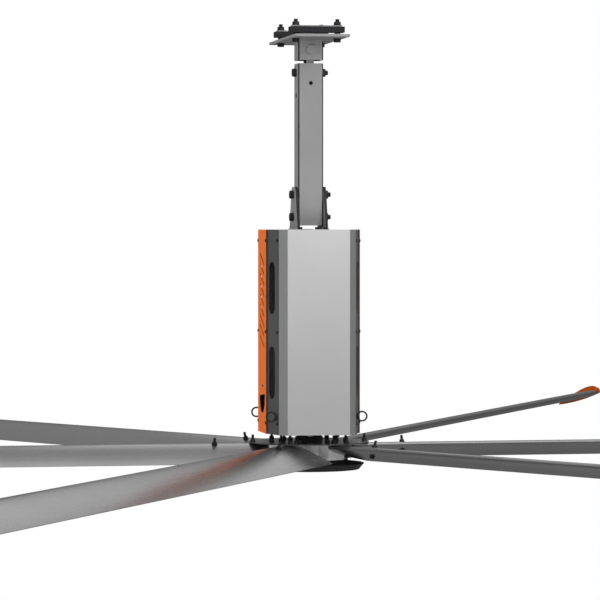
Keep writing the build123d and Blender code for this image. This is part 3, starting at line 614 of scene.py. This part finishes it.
def joined(parts: Iterable[tuple[bmesh.types.BMesh, Matrix]]) -> bmesh.types.BMesh:
    """Place copies of meshes into one bmesh.

    Args:
        parts: pairs of a bmesh and its placement.

    Returns:
        One bmesh that holds them all.
    """
    whole = bmesh.new()
    for mesh, place in parts:
        carrier = bpy.data.meshes.new("carrier")
        mesh.to_mesh(carrier)
        carrier.transform(place)
        whole.from_mesh(carrier)
        bpy.data.meshes.remove(carrier)
    return whole


def bar(length: float, width: float, height: float, edge: float) -> bmesh.types.BMesh:
    """Make a bar centred on the origin.

    Args:
        length: its size along X.
        width: its size along Y.
        height: its size along Z.
        edge: radius of its rounded edges.

    Returns:
        The bar.
    """
    mesh = bmesh.new()
    bmesh.ops.create_cube(mesh, size=1.0)
    bmesh.ops.scale(mesh, verts=mesh.verts, vec=(length, width, height))
    bmesh.ops.bevel(mesh, geom=list(mesh.edges), offset=edge, offset_type="OFFSET", segments=2,
                    profile=0.5, affect="EDGES", material=-1)
    return mesh


@dataclass
class RotorLayout:
    """Where the blades stand about the fan's axis.

    Attributes:
        count: number of blades.
        first: angle of the first blade in degrees.
        strut_z: height of the struts.
        pitch: blade pitch in degrees.
    """

    count: int = 6
    first: float = 1.5
    strut_z: float = -1.2783
    pitch: float = 17.0

    def angles(self) -> list[float]:
        """Return each blade's angle in radians."""
        return [math.radians(self.first + step * 360.0 / self.count)
                for step in range(self.count)]

    def strut_frame(self, angle: float) -> Matrix:
        """Return the placement of one blade: X outwards, Y to its trailing edge.

        Args:
            angle: the blade's angle in radians.

        Returns:
            The placement of the blade's own frame.
        """
        return (Matrix.Rotation(angle, 4, "Z") @ Matrix.Translation((0, 0, self.strut_z))
                @ Matrix.Rotation(-math.radians(self.pitch), 4, "X"))


@dataclass
class Threads:
    """Screw threads on the bolt ends that stand free above their nuts.

    Attributes:
        pitch_share: thread pitch as a share of the thread radius.
        depth_share: thread depth as a share of the thread radius.
        bore_share: radius of the sleeve's bore as a share of the thread radius.
        steps: number of segments round a thread.
        clamp_radius: thread radius of the clamp bolts.
        clamp_x: half the clamp bolts' spacing across the plate.
        clamp_y: half their spacing along the plate.
        clamp_z: lowest and highest point of their threads.
        tube_radius: thread radius of the through bolts of the drop tube.
        tube_x: start and end of their threads, without the ears.
        tube_ends: height of each through bolt, and how much further out an ear sets its thread.
        rotor_radius: thread radius of the rotor's bolts.
        hub_radii: distance of each blade's upright bolts from the fan's axis.
        hub_z: lowest and highest point of their threads.
        outer_radius: distance of each blade's tilted bolt from the fan's axis.
        outer_rise: lowest and highest point of its thread above the strut.
    """

    pitch_share: float = 0.3
    depth_share: float = 0.07
    bore_share: float = 0.9
    steps: int = 16
    clamp_radius: float = 0.006
    clamp_x: float = 0.065
    clamp_y: float = 0.1425
    clamp_z: tuple[float, float] = (0.0435, 0.0512)
    tube_radius: float = 0.007
    tube_x: tuple[float, float] = (0.0525, 0.060)
    tube_ends: tuple[tuple[float, float], ...] = (
        (-0.5576, 0.0085), (-0.4876, 0.0085), (-0.1072, 0.0))
    rotor_radius: float = 0.004
    hub_radii: tuple[float, ...] = (0.088, 0.118, 0.178)
    hub_z: tuple[float, float] = (-1.2506, -1.2371)
    outer_radius: float = 0.3
    outer_rise: tuple[float, float] = (0.0213, 0.0348)

    def sleeve(self, radius: float, low: float, high: float) -> bmesh.types.BMesh:
        """Make the ridged sleeve of one upright thread.

        Args:
            radius: thread radius at the grooves.
            low: height of its lower end.
            high: height of its upper end.

        Returns:
            The sleeve, about Z.
        """
        pitch, depth = radius * self.pitch_share, radius * self.depth_share
        turns = max(2, round((high - low) / pitch))
        step = (high - low) / turns
        bore = radius * self.bore_share
        points = [(bore, low)]
        for turn in range(turns):
            points += [(radius, low + turn * step), (radius + depth, low + (turn + 0.5) * step)]
        points += [(radius, high), (bore, high)]
        return profile_spin(points, self.steps)

    def on_clamp(self) -> None:
        """Build the threads of the four clamp bolts."""
        upright = self.sleeve(self.clamp_radius, *self.clamp_z)
        places = [Matrix.Translation((x, y, 0)) for x in (-self.clamp_x, self.clamp_x)
                  for y in (-self.clamp_y, self.clamp_y)]
        new_piece("clamp_threads", joined((upright, place) for place in places),
                  Body.CEILING, BLACK_OXIDE)

    def on_tube(self) -> None:
        """Build the threads of the drop tube's through bolts."""
        across = Matrix.Rotation(math.pi / 2, 4, "Y")
        start, end = self.tube_x
        parts = [(self.sleeve(self.tube_radius, start + ear, end + ear),
                  Matrix.Translation((0, 0, height)) @ across) for height, ear in self.tube_ends]
        new_piece("tube_bolt_threads", joined(parts), Body.DROP, BLACK_OXIDE)

    def on_rotor(self, layout: RotorLayout) -> None:
        """Build the threads of the bolts through the hub's arms and the blades.

        Args:
            layout: where the blades stand.
        """
        upright = self.sleeve(self.rotor_radius, *self.hub_z)
        tilted = self.sleeve(self.rotor_radius, *self.outer_rise)
        outwards = Matrix.Translation((self.outer_radius, 0, 0))
        parts = []
        for angle in layout.angles():
            turn = Matrix.Rotation(angle, 4, "Z")
            parts += [(upright, turn @ Matrix.Translation((r, 0, 0))) for r in self.hub_radii]
            parts.append((tilted, layout.strut_frame(angle) @ outwards))
        new_piece("rotor_threads", joined(parts), Body.ROTOR, BLACK_OXIDE)

    def build(self, layout: RotorLayout) -> None:
        """Build the threads of the clamp, of the tube's through bolts and of the rotor.

        Args:
            layout: where the blades stand.
        """
        self.on_clamp()
        self.on_tube()
        self.on_rotor(layout)


@dataclass
class Blades:
    """The six extruded blades, as smooth copies of their CAD solids.

    Attributes:
        merge_angle: angle in degrees below which neighbouring facets shade as one.
    """

    merge_angle: float = 28.0

    def build(self, layout: RotorLayout) -> None:
        """Build each blade with the grain of its own direction.

        Args:
            layout: where the blades stand.
        """
        for index, angle in enumerate(layout.angles(), 1):
            name = f"blade_{index}"
            finish = blade_finish(index, math.degrees(angle))
            piece = new_piece("skin_of_" + name, merged_copy(name), Body.ROTOR, finish,
                              self.merge_angle)
            stand_in(piece, name)
            coat_node(name, finish)


@dataclass
class Welds:
    """Fillet welds of the yoke under the ceiling plate and along the ears' feet.

    Attributes:
        leg: leg length of a weld.
        crown: height of its middle as a share of the leg.
        root: how far its root reaches into the corner.
        sink: how far its edges sink into the faces beside it.
        crown_corner: which corner of a weld's section is its middle.
        ripple: depth of the ripples.
        ripple_pitch: spacing of the ripples.
        least_steps: fewest steps along a weld.
        smooth_angle: edge angle in degrees up to which a weld shades smoothly.
        tube_half: half the width of the yoke's tube.
        corner_gap: what a yoke weld leaves free of the tube's width.
        yoke_z: height of the ceiling plate's lower face.
        ear_x: distance of the ears' outer faces from the middle.
        ear_half: half the length of an ear's foot.
        ear_z: height of the ears' feet.
    """

    leg: float = 0.0045
    crown: float = 0.62
    root: float = 0.001
    sink: float = 0.0005
    crown_corner: int = 2
    ripple: float = 0.00045
    ripple_pitch: float = 0.0035
    least_steps: int = 4
    smooth_angle: float = 50.0
    tube_half: float = 0.04
    corner_gap: float = 0.008
    yoke_z: float = -0.008
    ear_x: float = 0.0485
    ear_half: float = 0.0745
    ear_z: float = HOUSING_TOP

    def bead(self, length: float) -> bmesh.types.BMesh:
        """Make one rippled bead along X, its corner on the origin, leaning to +Y and -Z.

        Args:
            length: length of the bead.

        Returns:
            The bead.
        """
        mesh = bmesh.new()
        middle = self.leg * self.crown
        corners = [(0, -self.root, self.root), (0, self.leg, self.sink), (0, middle, -middle),
                   (0, -self.sink, -self.leg)]
        face = mesh.faces.new([mesh.verts.new(corner) for corner in corners])
        count = max(self.least_steps, int(length / self.ripple_pitch) * 2)
        shift = Vector((length / count, 0, 0))
        bmesh.ops.translate(mesh, verts=mesh.verts, vec=(-length / 2, 0, 0))
        for step in range(count):
            made = bmesh.ops.extrude_face_region(mesh, geom=[face], use_keep_orig=step == 0)
            face = next(g for g in made["geom"] if isinstance(g, bmesh.types.BMFace))
            swell = self.ripple * (1 if step % 2 else -1)
            bmesh.ops.translate(mesh, verts=face.verts, vec=shift)
            bmesh.ops.translate(mesh, verts=[face.verts[self.crown_corner]],
                                vec=(0, swell, -swell))
        bmesh.ops.recalc_face_normals(mesh, faces=mesh.faces)
        return mesh

    def build(self) -> None:
        """Build the yoke's weld and the ears' welds."""
        side = self.bead(2 * self.tube_half - self.corner_gap)
        under = Matrix.Translation((0, 0, self.yoke_z))
        beside = Matrix.Translation((0, self.tube_half, 0))
        parts = [(side, under @ Matrix.Rotation(turn * math.pi / 2, 4, "Z") @ beside)
                 for turn in range(4)]
        new_piece("yoke_weld", joined(parts), Body.CEILING, TUBE_GREY, self.smooth_angle)
        foot = self.bead(2 * self.ear_half)
        under = Matrix.Translation((0, 0, self.ear_z))
        beside = Matrix.Translation((0, self.ear_x, 0))
        upwards = Matrix.Rotation(math.pi / 2, 4, "X")
        parts = [(foot, under @ Matrix.Rotation(turn, 4, "Z") @ beside @ upwards)
                 for turn in (math.pi / 2, -math.pi / 2)]
        new_piece("ear_welds", joined(parts), Body.DROP, TUBE_GREY, self.smooth_angle)


@dataclass
class HousingTrim:
    """Seam strips at the covers' corners and the louvre fins of the middle panels.

    Attributes:
        seam: corner of a cover and a side panel, where a strip lies.
        side: the side panel's other end, towards which the strip is set in.
        strip_width: width of a strip.
        strip_edge: edge radius of a strip.
        inset: how far a strip lies along and behind its panel, and how much shorter it is than
            the housing.
        top: height of the housing's top.
        height: height of the housing.
        panel_x: distance of the middle panels' faces from the fan's axis.
        fin_count: number of fins in a middle panel.
        fin_first: distance of the first fin below the housing's top.
        fin_pitch: spacing of the fins.
        fin_len: length of a fin.
        fin_depth: depth of a fin.
        fin_thick: thickness of a fin.
        fin_edge: edge radius of a fin.
        fin_inset: distance of the fins behind the panel's face.
        fin_tilt: slant of a fin in degrees, as the slots have it.
        fin_lean: lean of a fin in degrees, about its own length.
    """

    seam: tuple[float, float] = (0.1212, 0.157)
    side: tuple[float, float] = (0.143, 0.08)
    strip_width: float = 0.0026
    strip_edge: float = 0.0005
    inset: float = 0.001
    top: float = HOUSING_TOP
    height: float = 0.6337
    panel_x: float = 0.1478
    fin_count: int = 9
    fin_first: float = 0.092
    fin_pitch: float = 0.032
    fin_len: float = 0.092
    fin_depth: float = 0.012
    fin_thick: float = 0.0012
    fin_edge: float = 0.0004
    fin_inset: float = 0.0065
    fin_tilt: float = 24.0
    fin_lean: float = 48.0

    def strips(self) -> None:
        """Build the four black strips in the seams."""
        along = (Vector(self.side) - Vector(self.seam)).normalized()
        turn = math.atan2(-along.y, along.x)
        strip = bar(self.strip_width, self.strip_width, self.height - self.inset,
                    self.strip_edge)
        outward = Vector((-along.y, along.x))
        centre = Vector(self.seam) + along * self.inset - outward * self.inset
        middle = self.top - self.height / 2
        parts = [(strip, Matrix.Translation((sx * centre.x, sy * centre.y, middle))
                  @ Matrix.Rotation(-sx * sy * turn, 4, "Z")) for sx in (-1, 1) for sy in (-1, 1)]
        new_piece("seam_strips", joined(parts), Body.DROP, RUBBER)

    def fins(self) -> None:
        """Build the slanted fins behind the louvre slots of both middle panels, in painted shade.
        """
        fin = bar(self.fin_len, self.fin_depth, self.fin_thick, self.fin_edge)
        tilt = Matrix.Rotation(math.radians(-self.fin_tilt), 4, "Y")
        lean = Matrix.Rotation(math.radians(self.fin_lean), 4, "X")
        reach = self.panel_x - self.fin_inset
        parts = []
        for sx in (-1.0, 1.0):
            for step in range(self.fin_count):
                height = self.top - self.fin_first - step * self.fin_pitch
                stand = Matrix(((0, sx, 0, sx * reach), (1, 0, 0, 0), (0, 0, 1, height),
                                (0, 0, 0, 1)))
                parts.append((fin, stand @ tilt @ lean))
        mesh = joined(parts)
        bmesh.ops.recalc_face_normals(mesh, faces=mesh.faces)
        # The fins are coloured with painted shade
        new_piece("louvre_fins", mesh, Body.DROP, PAINTED_FIN_SHADE)

    def build(self) -> None:
        """Build all trim of the housing."""
        self.strips()
        self.fins()


@dataclass(frozen=True)
class Lamp:
    """One square soft lamp that faces a point of the fan's axis.

    Attributes:
        name: lamp name.
        place: its centre.
        aim_z: height of the point that it faces.
        size: side length.
        watts: power.
        gloss: whether it shows in reflections.
        diffuse: whether it lights matt surfaces.
    """

    name: str
    place: Point
    aim_z: float
    size: float
    watts: float
    gloss: bool = True
    diffuse: bool = True

    def hang(self) -> None:
        """Add the lamp to the scene, unseen by the camera."""
        light = bpy.data.lights.new(self.name, "AREA")
        light.size, light.energy = self.size, self.watts
        lamp = bpy.data.objects.new(self.name, light)
        lamp.location = self.place
        lamp.visible_glossy = self.gloss
        lamp.visible_diffuse = self.diffuse
        lamp.visible_camera = False
        aim = Vector((0.0, 0.0, self.aim_z)) - Vector(self.place)
        lamp.rotation_euler = aim.to_track_quat("-Z", "Y").to_euler()
        bpy.context.scene.collection.objects.link(lamp)


# The key lights the front, and a wider and dimmer card takes its place in reflections. One lamp
# hangs above and a weak one behind. The low one lights the blades near the hub from below, and
# the fills light the sides and the back.
LAMPS = (
    Lamp("key", (2.3, -5.6, 1.5), -0.7, 4.6, 190.0, gloss=False),
    Lamp("front_card", (1.3, -6.0, 1.9), -0.7, 5.4, 165.0, diffuse=False),
    Lamp("top", (0.0, 0.0, 4.5), 0.0, 6.0, 130.0),
    Lamp("back", (1.5, 6.5, 2.7), -0.8, 3.2, 19.0),
    Lamp("low_front", (-0.9, -4.5, -2.1), -1.3, 1.2, 70.0, gloss=False),
    Lamp("left_fill", (-6.0, -1.0, 0.0), -0.6, 4.0, 172.0, gloss=False),
    Lamp("right_fill", (6.0, 0.0, 0.0), -0.6, 4.0, 175.0, gloss=False),
    Lamp("rear_fill", (0.0, 6.0, 0.0), -0.6, 4.0, 120.0, gloss=False),
)


@dataclass
class Studio:
    """Floor, lamps, world and camera.

    Attributes:
        floor_z: height of the floor under the ceiling plate.
        floor_half: half the floor's size.
        floor_grey: how pale the floor is to the light.
        floor_gloss: share of white that a reflected ray sees of the floor.
        world_gloss: share of white that a reflected ray sees of the backdrop.
        dim_behind: backward share of a direction where the backdrop starts to dim and is dim.
        dim_below: upward share of a direction where it starts to dim and is dim.
        strength: strength of the backdrop's light where it is even and where it is dim.
        distance: camera distance from the fan's axis.
        eye_z: camera height.
        yaw: camera turn about the fan's axis in degrees.
        focal_px: focal length in pixels of the frame.
        aim_x: picture column of the fan's axis.
        horizon: picture row of the camera's own height.
        picture: width and height of the frame in pixels.
        sensor: width of the camera's sensor in millimetres.
        view_end: distance up to which the camera sees.
    """

    floor_z: float = -4.6
    floor_half: float = 60.0
    floor_grey: float = 0.27
    floor_gloss: float = 0.04
    world_gloss: float = 0.1
    dim_behind: tuple[float, float] = (0.0, 0.4)
    dim_below: tuple[float, float] = (0.38, 0.24)
    strength: tuple[float, float] = (0.34, 0.03)
    distance: float = 10.463
    eye_z: float = -0.597
    yaw: float = 9.8
    focal_px: float = 3345.0
    aim_x: float = 308.7
    horizon: float = 229.6
    picture: float = 600.0
    sensor: float = 36.0
    view_end: float = 300.0

    def seen(self, n: Nodes, gloss: float) -> bpy.types.NodeSocket:
        """Return how white a ray sees the backdrop.

        Args:
            n: the material's or world's nodes.
            gloss: share of white that a reflected ray sees.

        Returns:
            1 for rays from the camera or through glass, and the share for reflected ones.
        """
        path = n.add("LightPath").outputs
        straight = n.combine("MAXIMUM", path["Is Camera Ray"], path["Is Transmission Ray"])
        mirrored = n.combine("MULTIPLY", path["Is Glossy Ray"], gloss)
        return n.combine("MAXIMUM", straight, mirrored)

    def floor(self) -> None:
        """Make the pale floor, white to the camera and open from below."""
        mesh = bmesh.new()
        bmesh.ops.create_grid(mesh, x_segments=2, y_segments=2, size=self.floor_half)
        bmesh.ops.translate(mesh, verts=mesh.verts, vec=(0, 0, self.floor_z))
        piece = new_object("floor", mesh)
        material = bpy.data.materials.new("pale_floor")
        n = Nodes(material)
        pale = n.add("BsdfDiffuse", Color=(self.floor_grey, self.floor_grey, self.floor_grey, 1.0))
        white = n.add("Emission", Color=WHITE, Strength=1.0)
        clear = n.add("BsdfTransparent")
        lit = n.mix_shaders(self.seen(n, self.floor_gloss), pale.outputs[0], white.outputs[0])
        below = n.add("NewGeometry").outputs["Backfacing"]
        n.end("OutputMaterial", n.mix_shaders(below, lit, clear.outputs[0]))
        piece.data.materials.append(material)

    def soft_strength(self, n: Nodes) -> bpy.types.NodeSocket:
        """Set the backdrop's light by direction: even, but dim low at the back.

        Args:
            n: the world's nodes.

        Returns:
            The strength of the light.
        """
        split = n.add("SeparateXYZ")
        n.join(n.add("TexCoord").outputs["Generated"], split.inputs[0])
        behind = n.span(split.outputs["Y"], (0.0, 1.0), self.dim_behind)
        below = n.span(split.outputs["Z"], (0.0, 1.0), self.dim_below)
        return n.span(n.combine("MULTIPLY", behind, below), self.strength)

    def world(self) -> None:
        """Make the white backdrop and the soft light from all round."""
        world = bpy.data.worlds.new("studio")
        bpy.context.scene.world = world
        n = Nodes(world)
        soft = n.add("Background", Color=WHITE)
        n.join(self.soft_strength(n), soft.inputs["Strength"])
        white = n.add("Background", Color=WHITE, Strength=1.0)
        n.end("OutputWorld", n.mix_shaders(self.seen(n, self.world_gloss), soft.outputs[0],
                                           white.outputs[0]))

    def camera(self) -> None:
        """Set the camera at the photograph's place and angle."""
        yaw = math.radians(self.yaw)
        data = bpy.data.cameras.new("camera")
        data.sensor_width = self.sensor
        data.lens = self.sensor * self.focal_px / self.picture
        data.clip_end = self.view_end
        pitch = math.atan((self.picture / 2 - self.horizon) / self.focal_px)
        aside = math.atan((self.aim_x - self.picture / 2) / self.focal_px)
        camera = bpy.data.objects.new("camera", data)
        camera.location = (-self.distance * math.sin(yaw), -self.distance * math.cos(yaw),
                           self.eye_z)
        camera.rotation_euler = (math.pi / 2 - pitch, 0.0, aside - yaw)
        bpy.context.scene.collection.objects.link(camera)
        bpy.context.scene.camera = camera

    def build(self) -> None:
        """Build the whole studio."""
        bpy.context.scene.view_settings.view_transform = "Standard"
        self.floor()
        self.world()
        for lamp in LAMPS:
            lamp.hang()
        self.camera()


def main() -> None:
    logging.basicConfig(level=logging.INFO)
    Studio().build()
    layout = RotorLayout()
    NodeDressing().finish_nodes()
    Blades().build(layout)
    Threads().build(layout)
    Welds().build()
    HousingTrim().build()


if __name__ == "__main__":
    main()
